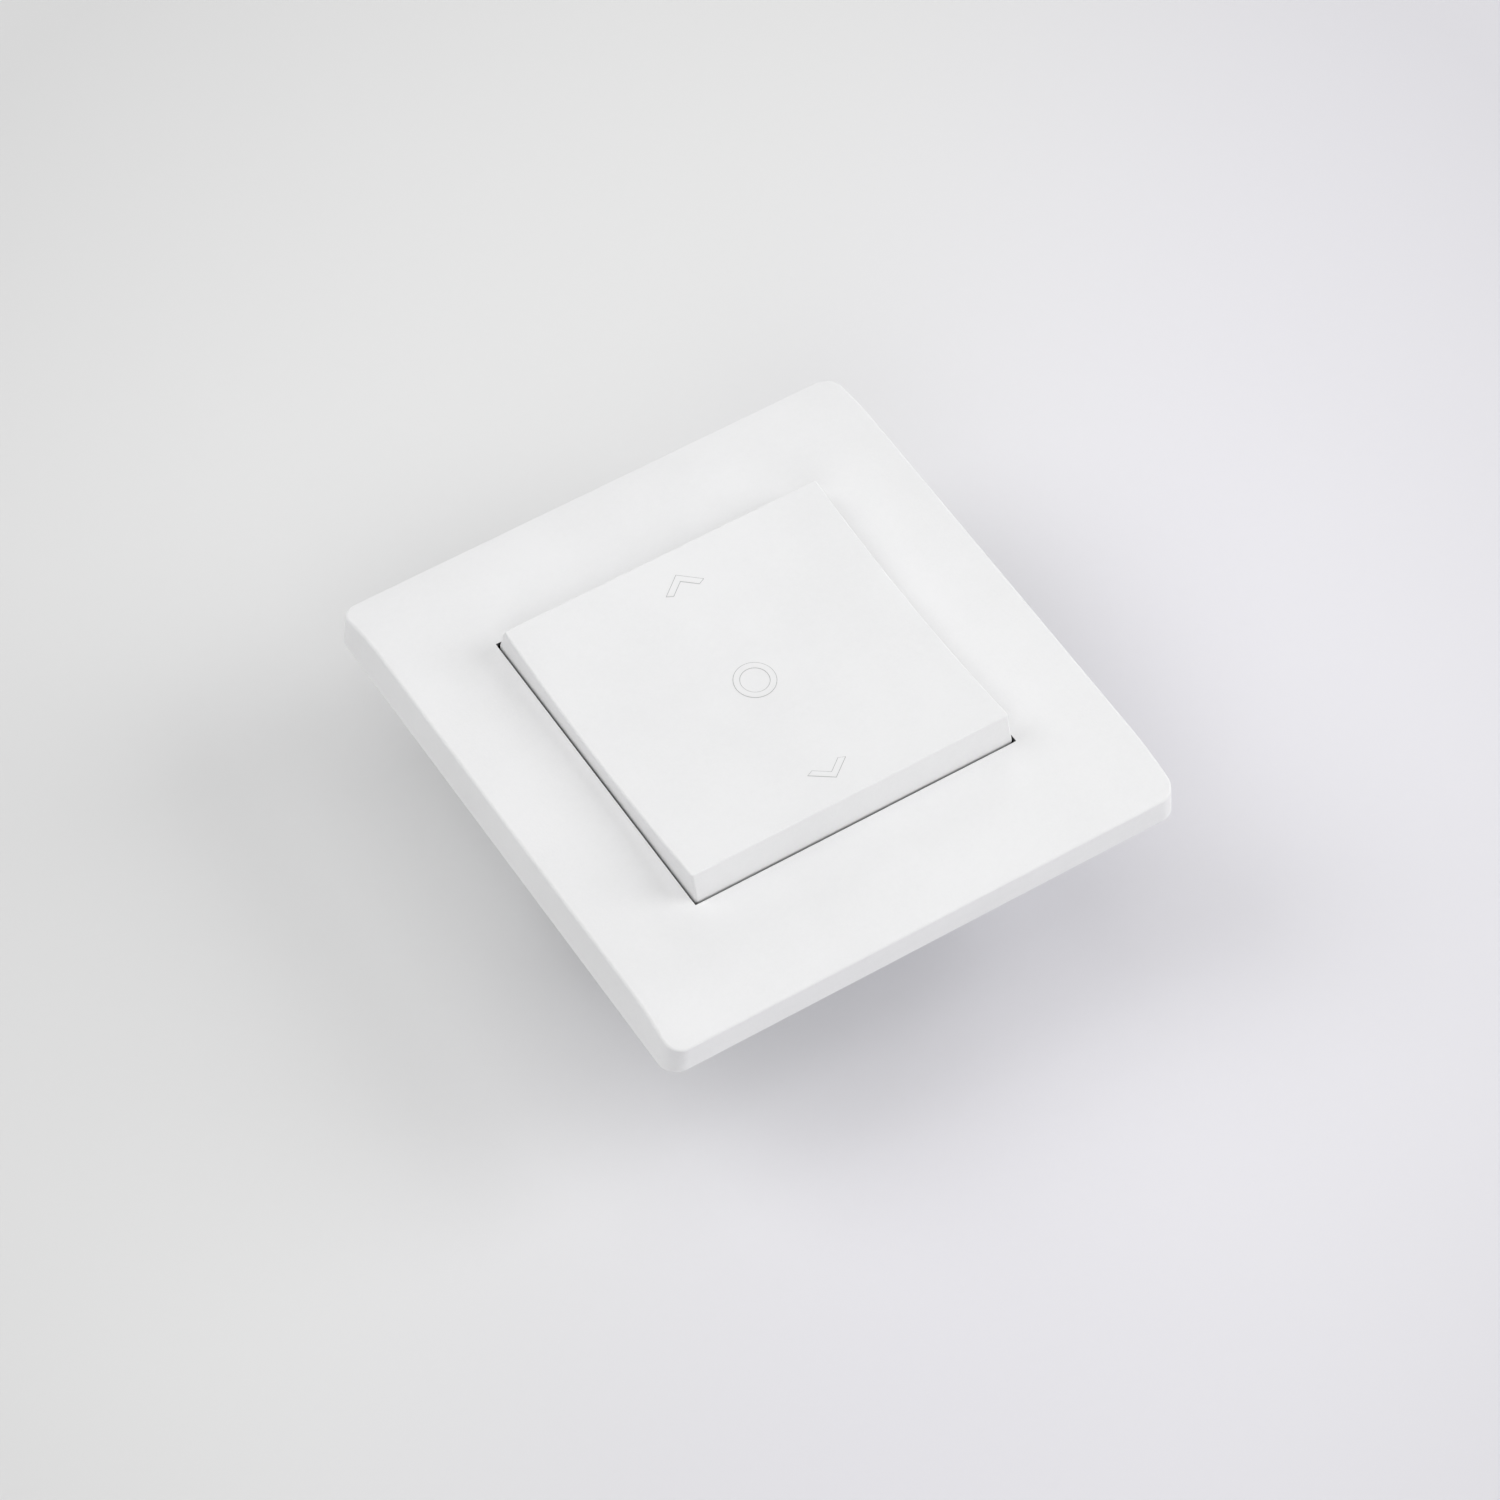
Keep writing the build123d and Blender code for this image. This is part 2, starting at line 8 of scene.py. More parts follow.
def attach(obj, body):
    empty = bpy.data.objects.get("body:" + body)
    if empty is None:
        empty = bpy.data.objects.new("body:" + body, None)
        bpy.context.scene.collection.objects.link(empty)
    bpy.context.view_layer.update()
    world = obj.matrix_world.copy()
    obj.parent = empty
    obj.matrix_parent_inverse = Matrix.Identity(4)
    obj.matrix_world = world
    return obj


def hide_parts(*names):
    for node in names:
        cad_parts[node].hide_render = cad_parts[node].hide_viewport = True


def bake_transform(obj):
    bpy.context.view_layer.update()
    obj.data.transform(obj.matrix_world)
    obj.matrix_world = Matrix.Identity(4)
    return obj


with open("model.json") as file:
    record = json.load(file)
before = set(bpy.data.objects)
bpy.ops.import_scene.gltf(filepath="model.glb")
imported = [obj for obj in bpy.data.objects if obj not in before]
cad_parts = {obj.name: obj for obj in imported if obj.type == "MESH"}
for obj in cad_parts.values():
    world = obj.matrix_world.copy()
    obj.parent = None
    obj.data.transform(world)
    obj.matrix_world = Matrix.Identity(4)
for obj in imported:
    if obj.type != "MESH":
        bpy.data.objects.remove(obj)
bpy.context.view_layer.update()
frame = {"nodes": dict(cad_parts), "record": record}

MM = 0.001

# Camera, measured on the photograph's straight edges.
CAMERA_PLACE = Vector((-259.50, -388.77, 625.65)) * MM
CAMERA_BEARING = math.radians(33.671)
CAMERA_DIP = math.radians(53.514)
CAMERA_ROLL = math.radians(1.443)
CAMERA_LENS = 139.59
CAMERA_SENSOR = 36.0
CAMERA_CLIP = (0.05, 50.0)

# Marks on the rocker: raised in the same white, each with a fine outline of painted groove shade.
MARK_HEIGHT = 0.05 * MM
MARK_FOOT = 0.15 * MM
MARK_STROKE = 0.9 * MM
MARK_DRAFT = 0.01 * MM
OUTLINE_HEIGHT = 0.015 * MM
OUTLINE_WIDTH = 0.09 * MM
RING_RADIUS = 2.48 * MM
RING_POINTS = 96
CHEVRON_APEX = 19.25 * MM
CHEVRON_HALF_WIDTH = 2.5 * MM
CHEVRON_RISE = 1.95 * MM
CHEVRON_STEPS = 10
CHEVRON_SLANT = 0.4

# Plate screws, in millimetres: cross recess, four at the corners of the insert.
PLATE_SCREW = {
    "Head Radius": 2.2, "Head Height": 1.4, "Head Chamfer": 0.35,
    "Slot Width": 0.55, "Slot Length": 2.5, "Cross Length": 2.5, "Slot Depth": 0.8,
    "Thread Radius": 1.1, "Shank Length": 9.0, "Pitch": 0.7, "Turned Over": 0.0,
}
PLATE_SCREW_PLACES = [(x, y, 1.2) for x in (-18.8, 18.8) for y in (-16.5, 16.5)]

# Terminal screws, in millimetres: slotted, driven from the back.
TERMINAL_SCREW = {
    "Head Radius": 2.4, "Head Height": 1.6, "Head Chamfer": 0.3,
    "Slot Width": 0.7, "Slot Length": 5.2, "Cross Length": 0.7, "Slot Depth": 0.8,
    "Thread Radius": 1.4, "Shank Length": 8.3, "Pitch": 0.6, "Turned Over": 1.0,
}
TERMINAL_SCREW_PLACES = [(-15.0, 0.0, -20.7), (15.0, 11.0, -20.7), (15.0, -11.0, -20.7)]

# How finely all screws are made, and how thick their core is within the thread.
HEAD_SIDES = 48
CORE_SIDES = 32
CORE_SHARE = 0.82
THREAD_SIDES = 4
THREAD_STEPS = 24

# Return springs, in millimetres: from the insert's seat up to each contact bridge.
# The end coils are closed.
SPRING = {"Coil Radius": 2.2, "Wire Radius": 0.3, "Turns": 7.0, "Rise": 8.734}
SPRING_PLACES = {"up": 11.0, "down": -11.0}
SPRING_FOOT = -20.09
COIL_STEPS = 32
WIRE_SIDES = 12

# Shadow gap: the frame's lip, the recess under it, and the painted shade, near black, that darkens
# them.
LIP_REACH = 25.13 * MM
RECESS_REACH = 25.65 * MM
RECESS_TOP = 6.05 * MM
GAP_SHADE_PAINT = (0.03, 0.03, 0.03)

# White plastic of frame and rocker, and the darker grey of painted shade that outlines the marks.
WHITE = {
    "pale": (0.859, 0.859, 0.864), "deep": (0.824, 0.824, 0.829),
    "grain": 0.3 * MM, "gloss": 0.6, "relief": 0.05 * MM,
}
GROOVE_SHADE_PAINT = {**WHITE, "pale": (0.48, 0.48, 0.484), "deep": (0.46, 0.46, 0.464)}

# Most of a cloudy pattern lies between these two values.
CLOUD_SPAN = (0.3, 0.7)

# Paper floor with painted light: a pool of it a little behind the switch, painted darker outwards,
# sideways more than along the view, and on the left, and a painted cool cast of light to the right
# and, less so, in front. Each pair of greys is for the left and the right.
FLOOR_LEVEL = -24.0 * MM
FLOOR_REACH = 6.0
FLOOR_MIDDLE = ((0.82, 0.82, 0.82), (0.862, 0.862, 0.862))
FLOOR_EDGE = ((0.69, 0.69, 0.69), (0.71, 0.71, 0.71))
FLOOR_SIDES = (-0.12, 0.12)
FLOOR_BEHIND = 0.02
FLOOR_FALL_SIDEWAYS = 46.0
FLOOR_FALL_ALONG = 29.0
FLOOR_COOL = (1.0, 0.988, 1.035)
FLOOR_COOL_SPAN = (-0.04, 0.06)
FLOOR_COOL_FRONT = 0.3
FLOOR_FIBRE = (0.72, 0.72, 0.72)

# Pale tent round it: where the floor fades into it, the light it gives, and how pale it looks.
FLOOR_FADE = (0.18, 0.6)
TENT_LIGHT = 0.25
TENT_SHADE = 0.75

# Soft boxes: place (right, behind, above), side length, and the share of plain light they give.
SOFT_BOXES = {
    "over": ((0.0, 0.0, 1.1), 0.9, 0.19),
    "right": ((0.9, 0.1, 0.62), 0.7, 0.405),
    "left": ((-0.75, 0.05, 0.75), 0.7, 0.34),
    "before": ((0.0, -0.9, 0.6), 0.7, 0.217),
    "right_low": ((1.0, 0.1, 0.2), 0.5, 0.165),
    "behind_low": ((0.0, 1.0, 0.2), 0.5, 0.22),
}


class Value:
    """An output socket of a node. Arithmetic on it adds Math nodes to its tree."""

    def __init__(self, graph, socket):
        self.graph = graph
        self.socket = socket

    def other(self, name):
        """Another output of the same node."""
        return Value(self.graph, self.socket.node.outputs[name])

    def math(self, operation, *terms):
        """A Math node on this value and further terms."""
        return self.graph.math(operation, self, *terms)

    def __add__(self, term):
        return self.math("ADD", term)

    def __radd__(self, term):
        return self.graph.math("ADD", term, self)

    def __sub__(self, term):
        return self.math("SUBTRACT", term)

    def __rsub__(self, term):
        return self.graph.math("SUBTRACT", term, self)

    def __mul__(self, term):
        return self.math("MULTIPLY", term)

    def __rmul__(self, term):
        return self.graph.math("MULTIPLY", term, self)

    def __truediv__(self, term):
        return self.math("DIVIDE", term)

    def __rtruediv__(self, term):
        return self.graph.math("DIVIDE", term, self)

    def __lt__(self, term):
        return self.math("LESS_THAN", term)

    def __gt__(self, term):
        return self.math("GREATER_THAN", term)


class Graph:
    """A node tree under construction, for a finish or for a shape."""

    def __init__(self, tree):
        self.tree = tree

    def node(self, kind, settings=None, sockets=None, output=0):
        """Adds one node: its settings first, then the values or links of its sockets."""
        made = self.tree.nodes.new(kind)
        for name, setting in (settings or {}).items():
            setattr(made, name, setting)
        for key, given in (sockets or {}).items():
            for item in given if isinstance(given, list) else [given]:
                if isinstance(item, Value):
                    self.tree.links.new(item.socket, made.inputs[key])
                else:
                    made.inputs[key].default_value = item
        return Value(self, made.outputs[output]) if made.outputs else None

    def math(self, operation, *terms):
        """A Math node on the terms, which are values or plain numbers."""
        return self.node("ShaderNodeMath", {"operation": operation}, dict(enumerate(terms)))

    def axes(self, vector):
        """The three parts of a vector."""
        x = self.node("ShaderNodeSeparateXYZ", sockets={"Vector": vector})
        return x, x.other("Y"), x.other("Z")

    def vector(self, x=0.0, y=0.0, z=0.0):
        """A vector from its three parts."""
        return self.node("ShaderNodeCombineXYZ", sockets={"X": x, "Y": y, "Z": z})


class Finish(Graph):
    """A procedural material that reads object coordinates."""

    def __init__(self, name):
        self.material = bpy.data.materials.new(name)
        self.material.use_nodes = True
        super().__init__(self.material.node_tree)
        self.shader = self.tree.nodes["Principled BSDF"]
        self.place = self.node("ShaderNodeTexCoord", output="Object")

    def stretched(self, stretch):
        """Object coordinates with each axis scaled, so that a pattern runs long along one."""
        return self.node("ShaderNodeMapping", sockets={"Vector": self.place, "Scale": stretch})

    def noise(self, size, detail=2.0, place=None):
        """Cloudy pattern from 0 to 1, whose patches are about as large as size."""
        sockets = {"Vector": place or self.place, "Scale": 1 / size, "Detail": detail}
        return self.node("ShaderNodeTexNoise", sockets=sockets)

    def crystals(self, size):
        """A colour by chance for each of many small cells, about as large as size."""
        sockets = {"Vector": self.place, "Scale": 1 / size}
        return self.node("ShaderNodeTexVoronoi", {"feature": "F1"}, sockets, output="Color")

    def between(self, value, low, high):
        """0 below low, 1 above high, smooth between them."""
        sockets = {"Value": value, "From Min": low, "From Max": high}
        return self.node("ShaderNodeMapRange", {"interpolation_type": "SMOOTHSTEP"}, sockets)

    def tint(self, share, low, high, blend="MIX"):
        """Colour that goes from low to high, or to low blended with high, with the share."""
        low, high = [
            shade if isinstance(shade, Value) else (*shade, 1.0) for shade in (low, high)]
        # A Mix node's colour sockets come after those for numbers and vectors.
        settings = {"data_type": "RGBA", "blend_type": blend}
        return self.node("ShaderNodeMix", settings, {0: share, 6: low, 7: high}, output=2)

    def relief(self, height, depth, strength):
        """Normal of a surface with fine relief, where height goes from 0 to 1."""
        sockets = {"Height": height, "Distance": depth, "Strength": strength}
        return self.node("ShaderNodeBump", sockets=sockets, output="Normal")

    def shade(self, **sockets):
        """Sets the shader's sockets: links for what varies, plain numbers for what doesn't."""
        for name, given in sockets.items():
            socket = self.shader.inputs[name.replace("_", " ").title()]
            if isinstance(given, Value):
                self.tree.links.new(given.socket, socket)
            else:
                socket.default_value = given
        return self.material


def satin_moulding(name, pale, deep, grain, gloss, relief, painted_shade_mask=None):
    """Moulded plastic from a spark-eroded mould: fine even grain, faint flow clouds, satin gloss.

    Where the painted shade is given, it tells from the finish which hidden inner faces are painted
    near black as shade.
    """
    finish = Finish(name)
    fine = finish.noise(grain, detail=3.0)
    coarse = finish.noise(3.2 * grain)
    flow = finish.noise(14 * MM)
    skin = 0.6 * fine + 0.4 * coarse
    colour = finish.tint(finish.between(0.55 * flow + 0.45 * skin, *CLOUD_SPAN), deep, pale)
    # Painted shade: the hidden inner faces turn near black, to deepen the shadow in the gap.
    if painted_shade_mask:
        colour = finish.tint(painted_shade_mask(finish), colour, GAP_SHADE_PAINT)
    return finish.shade(
        base_color=colour,
        roughness=gloss + 0.16 * (skin - 0.5) + 0.05 * (flow - 0.5),
        normal=finish.relief(skin, depth=relief, strength=0.35),
    )


def opening_painted_shade(finish):
    """Share of painted shade: 1 on the frame's lip and recess, which only the shadow gap shows."""
    x, y, z = finish.axes(finish.place)
    reach = x.math("ABSOLUTE").math("MAXIMUM", y.math("ABSOLUTE"))
    lip = reach < LIP_REACH
    recess = (reach < RECESS_REACH) * (z < RECESS_TOP)
    return lip.math("MAXIMUM", recess)


def filled_moulding(name, pale, deep, fleck, gloss):
    """Glass-filled insert plastic: fine even grain, faint flow clouds, a few tiny pale fibres."""
    finish = Finish(name)
    cloud = finish.noise(18 * MM, detail=1.0)
    dust = finish.noise(0.22 * MM)
    strands = finish.noise(0.3 * MM, detail=1.0, place=finish.stretched((1.0, 0.45, 0.7)))
    fibres = finish.between(strands, 0.68, 0.8)
    body = finish.tint(finish.between(0.35 * cloud + 0.65 * dust, *CLOUD_SPAN), deep, pale)
    return finish.shade(
        base_color=finish.tint(0.25 * fibres, body, fleck),
        roughness=gloss + 0.16 * (dust - 0.5) - 0.06 * fibres,
        normal=finish.relief(dust, depth=0.03 * MM, strength=0.3),
    )


def zinc_sheet():
    """Zinc-plated steel sheet: rolling streaks under a dull crystalline bloom."""
    dull, bright = (0.52, 0.54, 0.56), (0.74, 0.75, 0.76)
    finish = Finish("zinc_sheet")
    streaks = finish.noise(0.4 * MM, detail=3.0, place=finish.stretched((0.06, 1.0, 1.0)))
    bloom = finish.noise(7 * MM, detail=3.0)
    facet = finish.node("ShaderNodeSeparateColor", sockets={"Color": finish.crystals(2.4 * MM)})
    share = finish.between(0.4 * streaks + 0.25 * facet + 0.35 * bloom, 0.25, 0.75)
    return finish.shade(
        base_color=finish.tint(share, dull, bright),
        metallic=1.0,
        roughness=0.3 + 0.22 * bloom + 0.1 * (streaks - 0.5),
        normal=finish.relief(streaks, depth=0.02 * MM, strength=0.25),
    )


def zinc_screw():
    """Screws and clamps: bright zinc with a faint yellow passivation and turning lines."""
    yellowed, bright = (0.6, 0.57, 0.48), (0.78, 0.77, 0.73)
    finish = Finish("zinc_screw")
    patches = finish.noise(1.6 * MM, detail=3.0)
    turning = finish.noise(0.16 * MM, place=finish.stretched((0.3, 0.3, 2.0)))
    share = finish.between(0.7 * patches + 0.3 * turning, *CLOUD_SPAN)
    return finish.shade(
        base_color=finish.tint(share, yellowed, bright),
        metallic=1.0,
        roughness=0.26 + 0.16 * patches + 0.1 * (turning - 0.5),
        normal=finish.relief(turning, depth=0.01 * MM, strength=0.3),
    )


def rolled_strip(name, bright, dull, stain):
    """Stamped strip metal: rolling lines along it, with a little tarnish in patches."""
    finish = Finish(name)
    lines = finish.noise(0.22 * MM, detail=3.0, place=finish.stretched((1.0, 0.05, 1.0)))
    tarnish = finish.between(finish.noise(3.0 * MM, detail=4.0), 0.52, 0.78)
    clean = finish.tint(finish.between(lines, *CLOUD_SPAN), dull, bright)
    return finish.shade(
        base_color=finish.tint(0.7 * tarnish, clean, stain),
        metallic=1.0,
        roughness=0.24 + 0.2 * tarnish + 0.1 * (lines - 0.5),
        normal=finish.relief(lines, depth=0.01 * MM, strength=0.25),
    )


def contact_silver():
    """Contact rivets: soft pressed silver, a touch grey where it has aged."""
    bright, aged = (0.88, 0.87, 0.84), (0.6, 0.58, 0.54)
    finish = Finish("contact_silver")
    age = finish.between(finish.noise(0.9 * MM, detail=3.0), 0.35, 0.75)
    press = finish.noise(0.12 * MM)
    return finish.shade(
        base_color=finish.tint(age, bright, aged),
        metallic=1.0,
        roughness=0.2 + 0.22 * age + 0.08 * (press - 0.5),
        normal=finish.relief(press, depth=0.008 * MM, strength=0.3),
    )


def drawn_wire():
    """Spring wire: drawn steel with dark drawing residue in streaks."""
    clean, dark = (0.66, 0.66, 0.66), (0.36, 0.35, 0.34)
    finish = Finish("drawn_wire")
    residue = finish.between(finish.noise(0.5 * MM, detail=4.0), 0.4, 0.75)
    lines = finish.noise(0.1 * MM, place=finish.stretched((0.4, 0.4, 1.5)))
    return finish.shade(
        base_color=finish.tint(residue, clean, dark),
        metallic=1.0,
        roughness=0.25 + 0.25 * residue + 0.08 * (lines - 0.5),
        normal=finish.relief(lines, depth=0.006 * MM, strength=0.3),
    )


FINISHES = {
    "white_plastic": satin_moulding("satin_white", **WHITE),
    "cradle_plastic": satin_moulding(
        "natural_nylon", pale=(0.81, 0.81, 0.78), deep=(0.74, 0.735, 0.69),
        grain=0.45 * MM, gloss=0.4, relief=0.03 * MM),
    "plunger_plastic": satin_moulding(
        "signal_orange", pale=(0.83, 0.31, 0.16), deep=(0.74, 0.25, 0.12),
        grain=0.3 * MM, gloss=0.36, relief=0.03 * MM),
    "insert_cover_plastic": filled_moulding(
        "pale_grey_filled", pale=(0.75, 0.76, 0.76), deep=(0.71, 0.72, 0.72),
        fleck=(0.82, 0.82, 0.81), gloss=0.48),
    "insert_plastic": filled_moulding(
        "grey_filled", pale=(0.63, 0.64, 0.65), deep=(0.585, 0.595, 0.605),
        fleck=(0.72, 0.72, 0.71), gloss=0.48),
    "zinc_steel": zinc_sheet(),
    "screw_steel": zinc_screw(),
    "terminal_brass": rolled_strip(
        "stamped_brass", bright=(0.82, 0.64, 0.33), dull=(0.72, 0.53, 0.25),
        stain=(0.5, 0.36, 0.18)),
    "bridge_copper": rolled_strip(
        "stamped_copper", bright=(0.8, 0.48, 0.33), dull=(0.7, 0.4, 0.26),
        stain=(0.45, 0.24, 0.15)),
    "silver_contact": contact_silver(),
    "spring_steel": drawn_wire(),
}

for subpart in frame["record"]["subparts"]:
    solid = frame["nodes"][subpart["node"]]
    solid.data.materials.clear()
    solid.data.materials.append(FINISHES[subpart["material_slot"]])
# The frame's lip and recess get painted shade, near black, in the shadow gap.
frame["nodes"]["cover_frame"].data.materials[0] = satin_moulding(
    "satin_white_frame", painted_shade_mask=opening_painted_shade, **WHITE)


def shape_tree(name, sources, sizes):
    """A Geometry Nodes tree with named inputs: its sources, its sizes and a finish.

    Returns the graph and the inputs as values.
    """
    tree = bpy.data.node_groups.new(name, "GeometryNodeTree")
    inputs = {**sources, **dict.fromkeys(sizes, "NodeSocketFloat"), "Finish": "NodeSocketMaterial"}
    for label, kind in inputs.items():
        tree.interface.new_socket(label, in_out="INPUT", socket_type=kind)
    tree.interface.new_socket("Geometry", in_out="OUTPUT", socket_type="NodeSocketGeometry")
    graph = Graph(tree)
    given = tree.nodes.new("NodeGroupInput")
    return graph, {label: Value(graph, given.outputs[label]) for label in inputs}


def close_tree(graph, shape, material):
    """Ends a tree: instances made real, finish given."""
    shape = graph.node("GeometryNodeRealizeInstances", sockets={"Geometry": shape})
    shape = graph.node(
        "GeometryNodeSetMaterial", sockets={"Geometry": shape, "Material": material})
    graph.node("NodeGroupOutput", sockets={"Geometry": shape})
    return graph.tree


def grow(name, tree, inputs, places=()):
    """Runs a tree on a host whose points are the places, and keeps a plain mesh piece."""
    mesh = bpy.data.meshes.new(name)
    mesh.from_pydata([Vector(place) * MM for place in places], [], [])
    piece = bpy.data.objects.new(name, mesh)
    bpy.context.scene.collection.objects.link(piece)
    shaper = piece.modifiers.new("shape", "NODES")
    shaper.node_group = tree
    for item in tree.interface.items_tree:
        if item.in_out == "INPUT" and item.name in inputs:
            shaper[item.identifier] = inputs[item.name]
    evaluated = piece.evaluated_get(bpy.context.evaluated_depsgraph_get())
    grown = bpy.data.meshes.new_from_object(evaluated)
    piece.modifiers.remove(shaper)
    piece.data = grown
    return piece


def mark_tree():
    """Sweeps a drafted stroke along flat paths and lays it on the surface below them.

    Open ends are cut square at a slant of 0, and level with the X axis at a slant of 1.
    """
    graph, given = shape_tree(
        "raised_marks", {"Paths": "NodeSocketObject", "Surface": "NodeSocketObject"},
        ["Stroke", "Draft", "Height", "Foot", "Slant"])
    node = graph.node
    vectors = {"data_type": "FLOAT_VECTOR"}
    paths, ground = [
        node("GeometryNodeObjectInfo", sockets={"Object": given[source]}, output="Geometry")
        for source in ("Paths", "Surface")]
    depth = given["Height"] + given["Foot"]
    stroke = node("GeometryNodeCurvePrimitiveQuadrilateral", {"mode": "TRAPEZOID"}, {
        "Height": depth,
        "Bottom Width": given["Stroke"],
        "Top Width": given["Stroke"] - 2 * given["Draft"],
        "Offset": 0.0,
    })
    level = node("GeometryNodeSetCurveNormal", {"mode": "Z_UP"}, {"Curve": paths})
    x, y, z = graph.axes(node("GeometryNodeInputPosition"))

    # How far the ends of a stroke slide along it is kept with its path.
    along_x, along_y, _ = graph.axes(node("GeometryNodeInputTangent"))
    ends = node("GeometryNodeCurveEndpointSelection", sockets={"Start Size": 1, "End Size": 1})
    slide = given["Slant"] * ends * (1 - node("GeometryNodeInputSplineCyclic"))
    cut = graph.vector(slide * (along_x / along_y), slide, y)
    marked = node("GeometryNodeStoreNamedAttribute", {**vectors, "domain": "POINT"}, {
        "Geometry": level, "Name": "cut", "Value": cut})
    swept = node("GeometryNodeCurveToMesh", sockets={
        "Curve": marked, "Profile Curve": stroke,
        "Scale": node("GeometryNodeInputRadius"), "Fill Caps": True})
    cut_x, cut_y, middle = graph.axes(
        node("GeometryNodeInputNamedAttribute", vectors, {"Name": "cut"}))
    step = middle - y
    x, y = x + cut_x * step, y + cut_y * step

    # Each point drops straight down, from well above, onto the surface.
    landing = node("GeometryNodeRaycast", sockets={
        "Target Geometry": ground, "Source Position": graph.vector(x, y, 1.0),
        "Ray Direction": (0.0, 0.0, -1.0), "Ray Length": 2.0}, output="Hit Position")
    _, _, top = graph.axes(landing)
    lift = (z + 0.5 * depth).math("MINIMUM", depth) - given["Foot"]
    marks = node("GeometryNodeSetPosition", sockets={
        "Geometry": swept, "Position": graph.vector(x, y, top + lift)})
    crisp = node("GeometryNodeSetShadeSmooth", sockets={"Geometry": marks, "Shade Smooth": False})
    plain = node("GeometryNodeRemoveAttribute", sockets={"Geometry": crisp, "Name": "cut"})
    return close_tree(graph, plain, given["Finish"])


def mark_paths(spare):
    """Centre lines of the marks: a chevron towards each end of the rocker, a ring in the middle.

    The chevrons' arms are longer by the spare length.
    """
    lines = bpy.data.curves.new("mark_paths", "CURVE")
    lines.dimensions = "3D"
    arm = math.hypot(CHEVRON_HALF_WIDTH, CHEVRON_RISE)
    mitre = arm / CHEVRON_HALF_WIDTH
    reach = 1 + spare / arm

    def add_line(points, closed):
        line = lines.splines.new("POLY")
        line.points.add(len(points) - 1)
        for point, (x, y, radius) in zip(line.points, points):
            point.co = (x, y, 0.0, 1.0)
            point.radius = radius
        line.use_cyclic_u = closed

    steps = range(-CHEVRON_STEPS, CHEVRON_STEPS + 1)
    shares = [reach * step / CHEVRON_STEPS for step in steps]
    for way in (1, -1):
        add_line([
            (share * CHEVRON_HALF_WIDTH, way * (CHEVRON_APEX - abs(share) * CHEVRON_RISE),
             1.0 if share else mitre)
            for share in shares], closed=False)
    turns = [2 * math.pi * step / RING_POINTS for step in range(RING_POINTS)]
    add_line([
        (RING_RADIUS * math.cos(turn), RING_RADIUS * math.sin(turn), 1.0)
        for turn in turns], closed=True)
    paths = bpy.data.objects.new("mark_paths", lines)
    bpy.context.scene.collection.objects.link(paths)
    return paths


def add_marks():
    """The raised marks, and under each a wider, lower stroke in painted shade whose rim shows as
    its outline.
    """
    tree = mark_tree()
    # The lower stroke's darker grey is painted shade, as in a fine groove round each mark.
    groove_shade_finish = satin_moulding("shaded_line", **GROOVE_SHADE_PAINT)
    half = 0.5 * OUTLINE_WIDTH
    for name, finish, margin, height in (
            ("rocker_marks", FINISHES["white_plastic"], -half, MARK_HEIGHT),
            ("mark_outlines", groove_shade_finish, half, OUTLINE_HEIGHT)):
        paths = mark_paths(margin)
        marks = grow(name, tree, {
            "Paths": paths,
            "Surface": frame["nodes"]["rocker"],
            "Stroke": MARK_STROKE + 2 * margin,
            "Draft": MARK_DRAFT,
            "Height": height,
            "Foot": MARK_FOOT,
            "Slant": CHEVRON_SLANT,
            "Finish": finish,
        })
        bpy.data.objects.remove(paths)
        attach(marks, "rocker")


add_marks()


